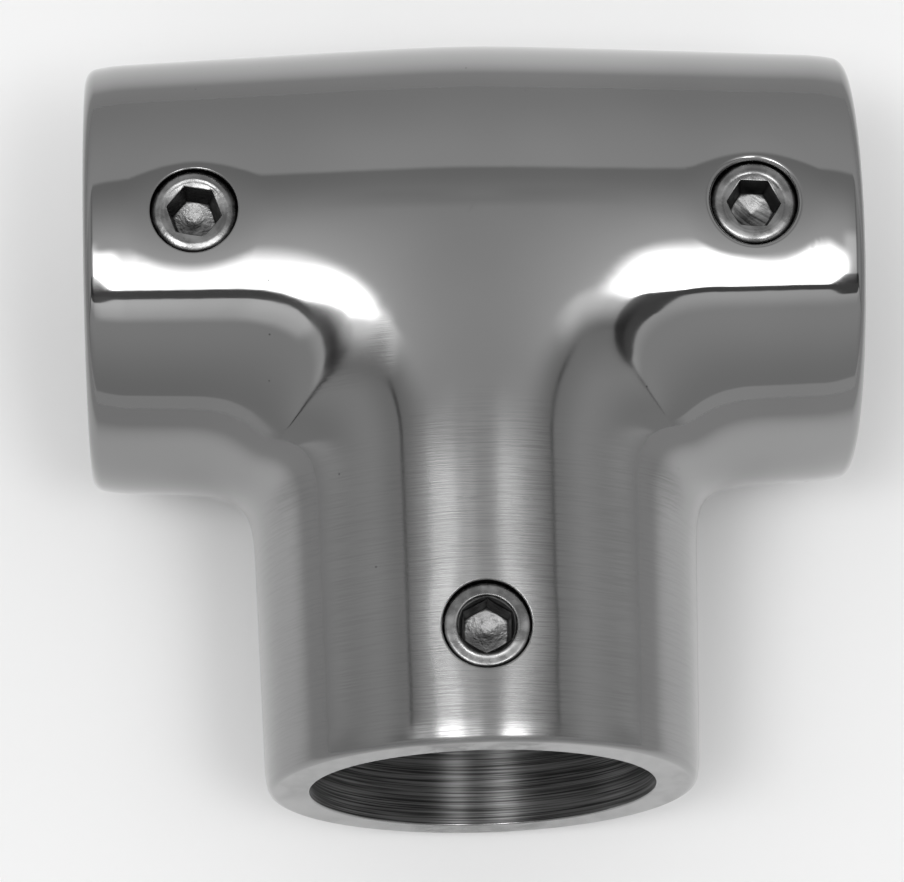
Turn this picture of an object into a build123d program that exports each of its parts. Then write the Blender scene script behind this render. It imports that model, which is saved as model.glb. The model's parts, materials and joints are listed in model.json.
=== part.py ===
from build123d import *

import math
import os

# A 90 degree tee for rail tube: one polished stainless casting with a bore through the
# run and a bore up the stem, and three socket set screws that lock the tubes in it.
#
# Frame: the two bore axes cross at the origin. The run lies along X, the stem points
# along -Y and the set screws look along +Z.

# ---------------------------------------------------------------- driving dimensions, mm

# Bores
TUBE_DIAMETER = 25.4  # the rail tube that every socket takes
BORE_CLEARANCE = 0.17  # gap all round between tube and bore

# Run: two shallow cones back to back, with a rounded crown where they meet
RUN_LENGTH = 57.6
RUN_END_WALL = 3.33
RUN_APEX_WALL = 4.63  # wall where the two cones would meet if the crown were sharp
CROWN_HALF_WIDTH = 6.0  # how far the rounded crown reaches to each side
RUN_EDGE_ROUND = 1.0

# Stem: one shallow cone, thickest where it grows out of the run
STEM_REACH = 40.25  # from the run's axis to the mouth
MOUTH_WALL = 3.23
STEM_ROOT_STEP = 0.12  # the stem's root is this much lower than the run's crown
MOUTH_EDGE_ROUND = 0.7

# Where run and stem flow together
JUNCTION_FILLET = 3.0

# Tapped holes
RUN_SCREW_INSET = 8.2  # from each end of the run
STEM_SCREW_INSET = 8.55  # from the mouth
THREAD_CLEARANCE = 0.06  # gap all round between screw and hole

# Set screws: quarter inch, flat point, short enough to hide in the wall
SCREW_DIAMETER = 6.35
SCREW_LENGTH = 3.0
SCREW_EDGE_CHAMFER = 0.3
KEY_SIZE = 3.175  # across the flats of the hexagon socket
SOCKET_DEPTH = 1.85  # depth of the hexagon's walls
SOCKET_LEAD_IN = 0.2  # chamfer along the socket's six mouth edges
DRILL_POINT_ANGLE = 130.0

# Each screw: how far its point stands clear of the bore, how far its hexagon is turned
# from having a flat side towards +Y, and how widely the edge of its hole is broken
LEFT_POINT_LIFT = 0.11
LEFT_KEY_TURN = -10.5
LEFT_EDGE_BREAK = 0.12
RIGHT_POINT_LIFT = 0.03
RIGHT_KEY_TURN = -3.5
RIGHT_EDGE_BREAK = 0.3
STEM_POINT_LIFT = 0.06
STEM_KEY_TURN = 27.5
STEM_EDGE_BREAK = 0.18

# ---------------------------------------------------------------------- derived sizes

bore_radius = TUBE_DIAMETER / 2 + BORE_CLEARANCE
run_half = RUN_LENGTH / 2
run_end_radius = bore_radius + RUN_END_WALL
run_apex_radius = bore_radius + RUN_APEX_WALL
run_taper = math.atan2(run_apex_radius - run_end_radius, run_half)
crown_arc_radius = CROWN_HALF_WIDTH / math.tan(run_taper)
crown_radius = run_apex_radius - CROWN_HALF_WIDTH * math.tan(run_taper / 2)
stem_root_radius = crown_radius - STEM_ROOT_STEP
mouth_radius = bore_radius + MOUTH_WALL
screw_radius = SCREW_DIAMETER / 2
hole_radius = screw_radius + THREAD_CLEARANCE
run_screw_x = run_half - RUN_SCREW_INSET
stem_screw_y = STEM_SCREW_INSET - STEM_REACH

SEAM_TURN = 45.0  # keeps the seams of the bores' cylinders off the holes and each other
FROM_BOTTOM = (Align.CENTER, Align.CENTER, Align.MIN)
FROM_TOP = (Align.CENTER, Align.CENTER, Align.MAX)

# Each screw's place on the casting and how it is set there
SCREW_PLACES = {
    "run_set_screw_left": (-run_screw_x, 0),
    "run_set_screw_right": (run_screw_x, 0),
    "stem_set_screw": (0, stem_screw_y),
}
SCREW_SETTINGS = {
    "run_set_screw_left": (LEFT_POINT_LIFT, LEFT_KEY_TURN),
    "run_set_screw_right": (RIGHT_POINT_LIFT, RIGHT_KEY_TURN),
    "stem_set_screw": (STEM_POINT_LIFT, STEM_KEY_TURN),
}
EDGE_BREAKS = {
    "run_set_screw_left": LEFT_EDGE_BREAK,
    "run_set_screw_right": RIGHT_EDGE_BREAK,
    "stem_set_screw": STEM_EDGE_BREAK,
}


def run_barrel():
    """The run's outside: half its outline turned about X."""
    outline = Polyline(
        (-run_half, 0),
        (-run_half, run_end_radius),
        (0, run_apex_radius),
        (run_half, run_end_radius),
        (run_half, 0),
        close=True,
    )
    section = make_face(outline)
    crown = section.vertices().sort_by(Axis.Y)[-1]
    section = fillet(crown, crown_arc_radius)
    outer = section.vertices().filter_by(lambda v: v.Y > bore_radius)
    rims = [v for v in outer if abs(v.X) > run_half - RUN_EDGE_ROUND]
    section = fillet(rims, RUN_EDGE_ROUND)
    return revolve(section, Axis.X)


def stem_barrel():
    """The stem's outside: half its outline turned about Y, from the run's axis down."""
    outline = Polyline(
        (0, 0),
        (stem_root_radius, 0),
        (mouth_radius, -STEM_REACH),
        (0, -STEM_REACH),
        close=True,
    )
    section = make_face(outline)
    rim = section.vertices().sort_by_distance((mouth_radius, -STEM_REACH, 0))[0]
    section = fillet(rim, MOUTH_EDGE_ROUND)
    return revolve(section, Axis.Y)


def blended_outside():
    """Run and stem as one casting, with the valley between them filled by a fillet.

    The valley is the edge that neither barrel had before they were joined.
    """
    run = run_barrel()
    stem = stem_barrel()
    joined = run + stem
    valley = new_edges(run, stem, combined=joined)
    return fillet(valley, JUNCTION_FILLET)


def tapped_hole(x, y):
    """A plain hole for a screw, from the bore's middle out through the +Z wall."""
    depth = run_apex_radius + SCREW_LENGTH
    return Pos(x, y, 0) * Cylinder(hole_radius, depth, align=FROM_BOTTOM)


def run_bore():
    """The bore along X, through both ends of the run, with its seam in a back quarter."""
    return Rot(Y=90) * Rot(Z=SEAM_TURN) * Cylinder(bore_radius, RUN_LENGTH)


def stem_bore():
    """The bore up the stem, which opens into the run's bore."""
    bore = Cylinder(bore_radius, STEM_REACH, align=FROM_BOTTOM)
    return Rot(X=90) * Rot(Z=SEAM_TURN) * bore


def tee_body():
    """The casting with a tapped hole with a broken edge per screw, and its bores."""
    body = blended_outside()
    for name, (x, y) in SCREW_PLACES.items():
        before = body
        body = body - tapped_hole(x, y)
        rim = new_edges(before, combined=body).sort_by(Axis.Z)[-1]
        body = chamfer(rim, EDGE_BREAKS[name])
    return body - run_bore() - stem_bore()


def hexagon_socket():
    """The key's recess below z = 0: hexagon walls with a lead-in, over a drilled point."""
    hexagon = RegularPolygon(KEY_SIZE / 2, 6, major_radius=False)
    mouth = RegularPolygon(KEY_SIZE / 2 + SOCKET_LEAD_IN, 6, major_radius=False)
    walls = extrude(hexagon, -SOCKET_DEPTH)
    lead_in = loft([mouth, Pos(0, 0, -SOCKET_LEAD_IN) * hexagon])
    drill_radius = KEY_SIZE / 2
    point_depth = drill_radius / math.tan(math.radians(DRILL_POINT_ANGLE / 2))
    point = Cone(0, drill_radius, point_depth, align=FROM_TOP)
    return walls + lead_in + Pos(0, 0, -SOCKET_DEPTH) * point


def set_screw():
    """A short flat-point set screw that hangs below z = 0, where its key end is."""
    blank = Cylinder(screw_radius, SCREW_LENGTH, align=FROM_TOP)
    rims = blank.edges().filter_by(GeomType.CIRCLE)
    return chamfer(rims, SCREW_EDGE_CHAMFER) - hexagon_socket()


def placed_screw(name):
    """A set screw backed off until its point clears the bore."""
    x, y = SCREW_PLACES[name]
    point_lift, key_turn = SCREW_SETTINGS[name]
    key_end = bore_radius + point_lift + SCREW_LENGTH
    return Pos(x, y, key_end) * Rot(Z=key_turn) * set_screw()


def main():
    nodes = {"tee_body": tee_body()}
    for name in SCREW_PLACES:
        nodes[name] = placed_screw(name)
    os.makedirs("parts", exist_ok=True)
    for name, shape in nodes.items():
        export_step(shape, f"parts/{name}.step")
        print(name, "volume", round(shape.volume, 1), "valid", shape.is_valid)


main()
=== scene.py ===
# %% [markdown]
# # A polished stainless tee for rail tube
#
# The real part is one casting of marine stainless steel and three socket set screws. It
# is cast rough, bored for its two tubes, then ground and buffed by hand until it is
# nearly a mirror. A mirror has no colour of its own to look at, so the eye reads its
# shape: the soft valleys where the stem grows out of the run, the shallow dish that the
# buffing wheel leaves round each screw, and the fine lines that run round the stem. The
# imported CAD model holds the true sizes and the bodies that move. This lesson builds
# finer surfaces in its place with numpy, then gives each its finish and lights them.

# %% Load the fixed frame
import json
import math

import bmesh
import bpy
import numpy as np
from mathutils import Matrix, Vector


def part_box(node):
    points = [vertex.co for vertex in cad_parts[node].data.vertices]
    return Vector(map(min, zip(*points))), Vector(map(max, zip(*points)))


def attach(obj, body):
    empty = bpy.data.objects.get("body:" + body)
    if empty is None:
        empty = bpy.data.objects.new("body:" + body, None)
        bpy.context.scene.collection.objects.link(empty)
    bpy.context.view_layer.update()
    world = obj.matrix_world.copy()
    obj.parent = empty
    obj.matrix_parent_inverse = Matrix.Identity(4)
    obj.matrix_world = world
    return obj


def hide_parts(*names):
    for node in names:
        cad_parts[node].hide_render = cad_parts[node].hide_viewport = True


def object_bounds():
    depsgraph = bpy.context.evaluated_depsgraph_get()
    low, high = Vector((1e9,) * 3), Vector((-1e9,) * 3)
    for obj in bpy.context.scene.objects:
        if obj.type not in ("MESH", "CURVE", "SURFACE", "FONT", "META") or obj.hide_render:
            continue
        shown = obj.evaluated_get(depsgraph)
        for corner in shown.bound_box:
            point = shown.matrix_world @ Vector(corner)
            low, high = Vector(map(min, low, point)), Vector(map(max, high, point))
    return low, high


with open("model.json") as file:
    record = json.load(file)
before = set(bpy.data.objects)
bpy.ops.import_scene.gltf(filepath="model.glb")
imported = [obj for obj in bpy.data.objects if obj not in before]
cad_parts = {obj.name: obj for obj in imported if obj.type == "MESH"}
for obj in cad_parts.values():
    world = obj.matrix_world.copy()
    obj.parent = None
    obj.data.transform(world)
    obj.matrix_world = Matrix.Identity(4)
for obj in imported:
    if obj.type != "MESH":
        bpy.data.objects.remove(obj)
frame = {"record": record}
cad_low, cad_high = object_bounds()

print("CAD box, mm:", [round(x * 1000, 2) for x in (*cad_low, *cad_high)])

# %% [markdown]
# ## Sizes
#
# Everything below is worked out in millimetres, as such a part is drawn, and becomes
# metres only when a mesh is made. The overall sizes could be typed in again, but taken
# from the frame they always fit the CAD model: the run lies along X, the stem points
# along -Y and the screws look along +Z.

# %% Overall sizes in millimetres
MM = 0.001  # a millimetre in metres
body_low, body_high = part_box("tee_body")
mounts = {mount["name"]: mount for mount in frame["record"]["mounts"]}

BORE_RADIUS = mounts["run_bore"]["dims"]["r_mm"]
RUN_HALF = body_high.x / MM
STEM_REACH = -body_low.y / MM
CROWN_RADIUS = body_high.z / MM
print("bore", BORE_RADIUS, "crown", round(CROWN_RADIUS, 3), "run half", round(RUN_HALF, 2))

# %% [markdown]
# ## Where the screws sit
#
# Each set screw is a CAD node on a body of its own, because it moves. The box of that
# node gives the middle of its key end. The holes, the dishes and the finer screws all
# take their places from here. Each belongs to one arm of the tee: left, right or stem.

# %% The middle of each screw's key end
SCREW_NODES = {
    "left": "run_set_screw_left",
    "right": "run_set_screw_right",
    "stem": "stem_set_screw",
}


def screw_place(arm):
    """The middle of a set screw's key end: half way across its node's box, at the top."""
    low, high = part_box(SCREW_NODES[arm])
    middle = (low + high) / 2
    return np.array([middle.x, middle.y, high.z]) / MM


screw_places = {arm: screw_place(arm) for arm in SCREW_NODES}
print("screws", {arm: place.round(3).tolist() for arm, place in screw_places.items()})

# %% [markdown]
# ## Two tapered barrels
#
# A casting needs some draft to leave its mould, so neither barrel is a true cylinder: the
# run thins towards both ends and the stem towards its mouth. Two cones would leave a
# ridge round the middle of the run. A hyperbola has the same two slopes and is round
# between them. Just before each end the wheel has rolled the skin down a little more.

# %% Radius of the run and of the stem
RUN_END_WALL = 3.33
MOUTH_WALL = 3.23
ROOT_DROP = 0.12  # how much thinner the stem starts than the crown
CROWN_SPREAD = 4.0  # how far the rounded crown of the run reaches to each side
END_ROLL = (3.0, 0.30)  # the roll before a run end: over how far, how deep
MOUTH_ROLL = (1.9, 0.24)  # the shorter one at the stem's mouth

crown_reach = math.hypot(RUN_HALF, CROWN_SPREAD) - CROWN_SPREAD
RUN_SLOPE = (CROWN_RADIUS - BORE_RADIUS - RUN_END_WALL) / crown_reach
STEM_ROOT_RADIUS = CROWN_RADIUS - ROOT_DROP
STEM_SLOPE = (STEM_ROOT_RADIUS - BORE_RADIUS - MOUTH_WALL) / STEM_REACH


def rolled(reach, end, roll):
    """How far the skin has rolled down at a distance out: depth * share^2 near the end."""
    over, depth = roll
    return depth * np.clip((reach - end + over) / over, 0, 1) ** 2


def run_radius(x):
    """Radius of the run at x: crown - slope * (sqrt(x^2 + spread^2) - spread), less the roll."""
    cone = CROWN_RADIUS - RUN_SLOPE * (np.hypot(x, CROWN_SPREAD) - CROWN_SPREAD)
    return cone - rolled(np.abs(x), RUN_HALF, END_ROLL)


def stem_radius(reach):
    """Radius of the stem at a distance from the run's axis: root - slope * reach - roll."""
    return STEM_ROOT_RADIUS - STEM_SLOPE * reach - rolled(reach, STEM_REACH, MOUTH_ROLL)


print("run radius", run_radius(np.array([0, RUN_HALF])).round(2), "middle and end")
print("stem radius", stem_radius(np.array([0, STEM_REACH])).round(2), "root and mouth")

# %% [markdown]
# ## The dishes round the screws
#
# A soft wheel digs in where the metal stops, so the skin sinks a few tenths of a
# millimetre towards each hole. On a mirror that is enough to bend a straight lamp into a
# waist under each screw. A bump map could only hint at it, so the dish is real shape.

# %% Depth of the dishes
DISH_RADIUS = 5.5  # how far a dish reaches from its screw's middle
DISH_DEPTHS = {"left": 0.32, "right": 0.34, "stem": 0.09}


def dish_depth(x, y):
    """How deep the buffing wheel dished the skin: d * (1 - (r / a)^2)^2 near a screw."""
    depth = np.zeros_like(x)
    for arm, deepest in DISH_DEPTHS.items():
        place = screw_places[arm]
        share = ((x - place[0]) ** 2 + (y - place[1]) ** 2) / DISH_RADIUS**2
        depth = depth + deepest * np.clip(1 - share, 0, None) ** 2
    return depth


for arm, place in screw_places.items():
    print(arm, "dish, mm:", dish_depth(*place[:2]).round(3))

# %% [markdown]
# ## The outer skin as a field
#
# The two barrels were cast as one and the valley between them was ground round. Two
# tubes joined by a Boolean would leave a hard crease there, and a bevel along a crease
# that fades out at the crown is hard to keep smooth. A field does it in one line: a
# function that is negative inside the casting, zero on its skin and positive outside.
# The smooth minimum of two such functions is a blended union, and its gradient gives an
# exact normal at every point, which is what a mirror needs.

# %% The field of the casting
BLEND_WIDTH = 6.3  # how wide the valley between run and stem was ground
LEAST_BLEND = 0.2  # what is left of that width at the crown
CROWN_POWER = 40  # how suddenly the blend ends at the crown's own height
STEM_STOP = (-0.5, 0.6)  # where the stem's barrel closes inside the run, and how fast
CROWN_EASE = 0.06  # what the wheel took off the crown's middle
EASE_PLACE = (-4.0, 8.0)  # where along Y it did so, and how far round there


def casting_field(points):
    """Nearly the signed distance to the skin, in mm, and how much of it is the stem's.

    a and b are the distances to the run's and the stem's barrels. Their smooth minimum
    is min(a, b) - k h^3 / 6 with h = 1 - |a - b| / k, where k is the width of the blend.
    k ends at the crown, where both barrels share one skin, as 1 - (z / r)^40. The cube
    keeps the curvature smooth too, so a reflection bends without a kink.
    """
    x, y, z = points[..., 0], points[..., 1], points[..., 2]
    run = (np.hypot(y, z) - run_radius(x)) * math.cos(math.atan(RUN_SLOPE))
    stem = (np.hypot(x, z) - stem_radius(-y)) * math.cos(math.atan(STEM_SLOPE))
    stem = stem + STEM_STOP[1] * np.clip(y - STEM_STOP[0], 0, None) ** 2
    height = np.clip(np.abs(z) / CROWN_RADIUS, 0, 1)
    width = BLEND_WIDTH * (1 - height**CROWN_POWER) + LEAST_BLEND
    overlap = np.clip(1 - np.abs(run - stem) / width, 0, 1)
    joined = np.minimum(run, stem) - overlap**3 * width / 6
    from_ease = x**2 + (y - EASE_PLACE[0]) ** 2
    joined = joined + CROWN_EASE * np.exp(-from_ease / EASE_PLACE[1] ** 2)
    share = np.clip(0.5 + (run - stem) / (2 * width + 1), 0, 1)
    return joined + np.where(z > 0, dish_depth(x, y), 0), share


corner = np.array([RUN_HALF, -RUN_HALF, 0.0])
print("field on the run's axis, mm:", casting_field(np.zeros(3))[0].round(2))
print("field in the free corner, mm:", casting_field(corner)[0].round(2))

# %% [markdown]
# ## Sliding points onto the skin
#
# A field has no points of its own. They start on plain barrels and go down the field's
# slope until it is zero, which is Newton's method. Round a screw they may only move
# straight up or down, because there X and Y have to stay on the hole's circle.

# %% Normals, and two ways onto the skin
NEWTON_STEPS = 12


def skin_normals(points, step=0.001):
    """Unit gradient of the field, from central differences along X, Y and Z, and its size."""
    slopes = []
    for axis in np.eye(3) * step:
        slopes.append(casting_field(points + axis)[0] - casting_field(points - axis)[0])
    gradient = np.stack(slopes, axis=-1) / (2 * step)
    size = np.linalg.norm(gradient, axis=-1, keepdims=True)
    return gradient / size, size


def onto_skin(points):
    """Newton's method: each step goes down the gradient by field / slope."""
    for _ in range(NEWTON_STEPS):
        normals, size = skin_normals(points)
        points = points - normals * (casting_field(points)[0][..., None] / size)
    return points


def onto_skin_from_above(points):
    """The same, but straight up or down: dz = field / (slope along Z)."""
    points = points.copy()
    for _ in range(NEWTON_STEPS):
        normals, size = skin_normals(points)
        points[..., 2] -= casting_field(points)[0] / (normals[..., 2] * size[..., 0])
    return points


landed = onto_skin(np.array([[5.0, -9.0, 12.0]]))
print("a point of the valley lands on", landed.round(3).tolist(), "field", casting_field(landed)[0])

# %% [markdown]
# ## One arm at a time
#
# A field is often meshed in cubes, which ripples in a mirror. A tee is better seen as
# three arms that meet on mitre planes, like pipes cut at 45 degrees. Each arm is a grid:
# columns go round its axis and rows from the mitre out to its end. Left and right arm
# meet on x = 0 where y is positive, and both meet the stem on y = -|x|, with matching
# columns, so the three grids close into one skin with no gap.

# %% The three arms
COLUMNS = 192  # round each arm, so a quad is about half a millimetre wide
around = np.arange(COLUMNS) / COLUMNS * 2 * np.pi

# What both arms of the run share, and what the stem has instead: the side direction, the
# end, the radius, the rows of quads on the skin and in the bore, the end's rounded edge
RUN_ARM = {
    "side": (0, 1), "end": RUN_HALF, "radius": run_radius,
    "rows": 54, "bore_rows": 36, "edge_round": 1.0,
}
STEM_ARM = {
    "side": (1, 0), "end": STEM_REACH, "radius": stem_radius,
    "rows": 76, "bore_rows": 50, "edge_round": 0.6,
}
ARMS = {
    "left": {"out": (-1, 0), **RUN_ARM},
    "right": {"out": (1, 0), **RUN_ARM},
    "stem": {"out": (0, -1), **STEM_ARM},
}


def in_frame(arm, along, side, height):
    """Points from an arm's own directions: out along it, sideways, and up."""
    (out_x, out_y), (side_x, side_y) = ARMS[arm]["out"], ARMS[arm]["side"]
    along, side, height = np.broadcast_arrays(along, side, height)
    x = out_x * along + side_x * side
    y = out_y * along + side_y * side
    return np.stack([x, y, height], axis=-1)


for arm in ARMS:
    print(arm, "arm ends at, mm:", in_frame(arm, ARMS[arm]["end"], 0, 0).round(2))


# %% Mitred grids
def mitre(arm, radius):
    """How far out an arm starts in each column: |side| where run and stem meet, else 0.

    The run's arms meet the stem only where y is negative. On the other half they meet
    each other, at no distance out.
    """
    side = radius * np.cos(around)
    if arm == "stem":
        return np.abs(side)
    return np.clip(-side, 0, None)


def arm_grid(arm, radius_at, end, rows, seam_radius):
    """A barrel's grid: rows spaced evenly from its mitre to its end, columns round it."""
    start = mitre(arm, seam_radius)
    share = np.linspace(0, 1, rows + 1)[:, None]
    along = start + (end - start) * share
    radius = np.where(share > 0, radius_at(along), seam_radius)
    return in_frame(arm, along, radius * np.cos(around), radius * np.sin(around))


print("the stem's mitre reaches", mitre("stem", CROWN_RADIUS).max().round(2), "mm out")

# %% [markdown]
# ## Collecting quads
#
# Each grid is kept as a patch: its points, its normals and its finish. Blender could
# guess the normals from the faces, but exact ones, corner by corner, keep the skin smooth
# across patches and still sharp where a face meets the bore.

# %% A grid of points as quads
FINISHES = ("skin", "run bore", "stem bore", "tapped")
HALF_BLOCK = 9  # grid quads from a hole's middle to the border of the block left out


def patch(points, normals, finish, without=None):
    """One closed strip of quads. without is the (row, column) of a block that is left out.

    The quads are turned round where the sum of (diagonal x diagonal) . normal is negative.
    """
    rows, columns = points.shape[:2]
    number = np.arange(rows * columns).reshape(rows, columns)
    number = np.concatenate([number, number[:, :1]], axis=1)
    quads = np.stack([number[:-1, :-1], number[:-1, 1:], number[1:, 1:], number[1:, :-1]], -1)
    if without is not None:
        row, column = without
        keep = np.ones(quads.shape[:2], bool)
        keep[row - HALF_BLOCK : row + HALF_BLOCK, column - HALF_BLOCK : column + HALF_BLOCK] = False
        quads = quads[keep]
    quads = quads.reshape(-1, 4)
    flat, up = points.reshape(-1, 3), normals.reshape(-1, 3)
    across = flat[quads[:, 2]] - flat[quads[:, 0]]
    over = flat[quads[:, 3]] - flat[quads[:, 1]]
    if (np.cross(across, over) * up[quads[:, 0]]).sum() < 0:
        quads = quads[:, ::-1]
    return flat, up, quads, FINISHES.index(finish)


# %% [markdown]
# ## Holes without a Boolean
#
# Each screw sits in a tapped hole. A Boolean would cut long thin triangles into the grid,
# and a mirror shows every one of them. Instead a square block of grid quads is left out
# round the hole, and rings of quads go from the block's border in to a true circle. The
# same block is left out of the bore's grid inside, and the hole's wall joins the two.

# %% The block that is left out
LOOKS_UP = COLUMNS // 4  # the column along the top of an arm


def block_border(row, column):
    """Row and column numbers round a block's border, in order, without a repeat."""
    step = np.arange(-HALF_BLOCK, HALF_BLOCK)
    edge = np.full(step.size, HALF_BLOCK)
    rows = np.concatenate([-edge, step, edge, -step]) + row
    columns = np.concatenate([step, edge, -step, -edge]) + column
    return rows, columns


def hole_middle(arm, grid):
    """The grid row nearest to the arm's screw, in the column that looks up."""
    gaps = np.hypot(*(grid[:, LOOKS_UP, :2] - screw_places[arm][:2]).T)
    return int(gaps.argmin()), LOOKS_UP


print("a block's border has", len(block_border(0, 0)[0]), "points")

# %% Rings from the hole out to the block's border
HOLE_RADIUS = 3.235  # 0.06 mm clear of the screw
RINGS = 7
RING_CROWDING = 1.2  # a power that puts the rings closer together near the hole


def circle_for(border, centre):
    """Unit directions from a hole's centre, evenly spaced, in step with its border."""
    corner = border[0, :2] - centre
    start = math.atan2(np.sign(corner[1]), np.sign(corner[0]))
    after = border[1, :2] - centre
    turning = np.sign(corner[0] * after[1] - corner[1] * after[0])
    angles = start + turning * np.arange(len(border)) / len(border) * 2 * np.pi
    return np.stack([np.cos(angles), np.sin(angles)], axis=-1)


def hole_rings(border, arm, radius, onto):
    """Rings from a circle out to a block's border, each point then put on its surface."""
    centre = screw_places[arm][:2]
    directions = circle_for(border, centre)
    circle = np.zeros_like(border)
    circle[:, :2] = centre + radius * directions
    circle[:, 2] = border[:, 2]
    share = (np.linspace(0, 1, RINGS + 1) ** RING_CROWDING)[:, None, None]
    rings = onto(circle * (1 - share) + border * share)
    rings[-1] = border
    return rings, directions


print("rings at", (np.linspace(0, 1, RINGS + 1) ** RING_CROWDING).round(2), "of the way out")

# %% [markdown]
# ## Ends and bores
#
# The end of an arm was faced and its edges broken. A Bevel modifier could round them,
# but a profile carried round the axis, of a rounded edge, a flat ring and the bore's lip,
# has exact normals. The bore is the same kind of mitred grid as the skin, at one radius.

# %% Where the rounded end starts
def edge_start(arm):
    """Where an arm's rounded end edge begins, and the skin's slope there, as an angle.

    The arc is tangent to the skin, so its start = end - round * (1 - sin(slope)). The
    slope depends on the start, and a few rounds settle both.
    """
    end, radius, edge_round = (ARMS[arm][key] for key in ("end", "radius", "edge_round"))
    start = end - edge_round
    for _ in range(5):
        tilt = math.atan((radius(start - 0.005) - radius(start + 0.005)) / 0.01)
        start = end - edge_round * (1 - math.sin(tilt))
    return start, tilt


for arm in ARMS:
    start, tilt = edge_start(arm)
    print(arm, "skin ends at", round(start, 3), "mm, sloping", round(math.degrees(tilt), 1), "degrees")

# %% The profile of an end
LIP_ROUND = 0.12
EDGE_STEPS = 8
LIP_STEPS = 3
RING_STEPS = 4


def arc(centre, radius, start, stop, steps):
    """Profile points and normals along an arc: centre + radius * (sin, cos) of the angle."""
    angles = np.linspace(start, stop, steps + 1)
    normal = np.stack([np.sin(angles), np.cos(angles)], axis=-1)
    return np.array(centre) + radius * normal, normal


def end_profiles(arm):
    """(distance out, radius) points with normals: rounded edge, flat ring, broken lip."""
    end, edge_round = ARMS[arm]["end"], ARMS[arm]["edge_round"]
    start, tilt = edge_start(arm)
    radius = float(ARMS[arm]["radius"](np.array(start)))
    centre = (start - edge_round * math.sin(tilt), radius - edge_round * math.cos(tilt))
    edge = arc(centre, edge_round, tilt, math.pi / 2, EDGE_STEPS)
    edge[0][:, 0] += end - edge[0][-1, 0]
    lip_centre = (end - LIP_ROUND, BORE_RADIUS + LIP_ROUND)
    lip = arc(lip_centre, LIP_ROUND, math.pi / 2, math.pi, LIP_STEPS)
    radii = np.linspace(edge[0][-1, 1], lip[0][0, 1], RING_STEPS + 1)
    ring = np.stack([np.full(radii.size, end), radii], axis=-1)
    return edge, (ring, np.tile([1.0, 0.0], (radii.size, 1))), lip


def carried_round(arm, profile, normal):
    """A profile carried round an arm's axis: points and normals as two grids."""
    cos, sin = np.cos(around), np.sin(around)
    along, radius = profile[:, :1], profile[:, 1:]
    points = in_frame(arm, along, radius * cos, radius * sin)
    return points, in_frame(arm, normal[:, :1], normal[:, 1:] * cos, normal[:, 1:] * sin)


print("an end's profile has", sum(len(points) for points, _ in end_profiles("stem")), "points")


# %% The wall of a bore
def bore_grid(arm):
    """The bore's wall from its mitre to its lip, with normals towards the axis."""
    end, rows = ARMS[arm]["end"] - LIP_ROUND, ARMS[arm]["bore_rows"]
    grid = arm_grid(arm, lambda along: BORE_RADIUS + 0 * along, end, rows, BORE_RADIUS)
    return grid, in_frame(arm, np.zeros((rows + 1, 1)), -np.cos(around), -np.sin(around))


def onto_bore(arm):
    """A function that puts points on the bore's upper half: z = sqrt(r^2 - side^2)."""
    side = 0 if arm == "stem" else 1

    def onto(points):
        points = points.copy()
        points[..., 2] = np.sqrt(BORE_RADIUS**2 - points[..., side] ** 2)
        return points

    return onto


print("bore grids:", [bore_grid(arm)[0].shape for arm in ARMS])

# %% [markdown]
# ## Tapped holes
#
# A hole that a wheel has gone over has no sharp edge left: a quarter arc leads from the
# skin down into it, wide on the right one and barely there on the others. Below it the
# wall goes straight down to the bore. Its thread could be modelled like the screw's, but
# it stays in the dark behind the screw, so the wall is left smooth.

# %% The wall of a tapped hole
HOLE_BREAKS = {"left": 0.12, "right": 0.42, "stem": 0.16}
BREAK_STEPS = 4
WALL_STEPS = 6


def tapped_wall(arm, top, directions):
    """A hole's wall: its broken upper edge, a quarter arc, then straight to the bore."""
    up = skin_normals(top)[0]
    inward = np.concatenate([-directions, np.zeros((len(top), 1))], axis=1)
    turn = np.linspace(0, np.pi / 2, BREAK_STEPS + 1)[:, None, None]
    in_and_down = np.sin(turn) * inward - (1 - np.cos(turn)) * np.array([0, 0, 1])
    edge = top + HOLE_BREAKS[arm] * in_and_down
    edge_normals = np.cos(turn) * up + np.sin(turn) * inward
    bottom = edge[-1].copy()
    bottom[:, :2] = screw_places[arm][:2] + HOLE_RADIUS * directions
    bottom = onto_bore(arm)(bottom)
    share = np.linspace(0, 1, WALL_STEPS + 1)[:, None, None]
    wall = edge[-1] * (1 - share) + bottom * share
    return (edge, edge_normals), (wall, np.broadcast_to(inward, wall.shape))


print("mouths of the holes, mm:", {arm: 2 * (HOLE_RADIUS + wide) for arm, wide in HOLE_BREAKS.items()})


# %% All patches of one arm
def skin_patches(arm):
    """The outer skin with its opening, the rings round the hole, and the hole's wall."""
    radius_at, rows = ARMS[arm]["radius"], ARMS[arm]["rows"]
    skin = onto_skin(arm_grid(arm, radius_at, edge_start(arm)[0], rows, CROWN_RADIUS))
    middle = hole_middle(arm, skin)
    border = skin[block_border(*middle)]
    opening = HOLE_RADIUS + HOLE_BREAKS[arm]
    rings, directions = hole_rings(border, arm, opening, onto_skin_from_above)
    edge, wall = tapped_wall(arm, rings[0], directions)
    return [
        patch(skin, skin_normals(skin)[0], "skin", without=middle),
        patch(rings, skin_normals(rings)[0], "skin"),
        patch(*edge, "skin"),
        patch(*wall, "tapped"),
    ]


def bore_patches(arm):
    """The bore's wall with its opening, and the rings round the hole inside it."""
    finish, side = ("stem bore", 0) if arm == "stem" else ("run bore", 1)
    bore, normals = bore_grid(arm)
    middle = hole_middle(arm, bore)
    rings, _ = hole_rings(bore[block_border(*middle)], arm, HOLE_RADIUS, onto_bore(arm))
    ring_normals = -rings * np.array([side == 0, side == 1, 1]) / BORE_RADIUS
    return [patch(bore, normals, finish, without=middle), patch(rings, ring_normals, finish)]


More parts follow.
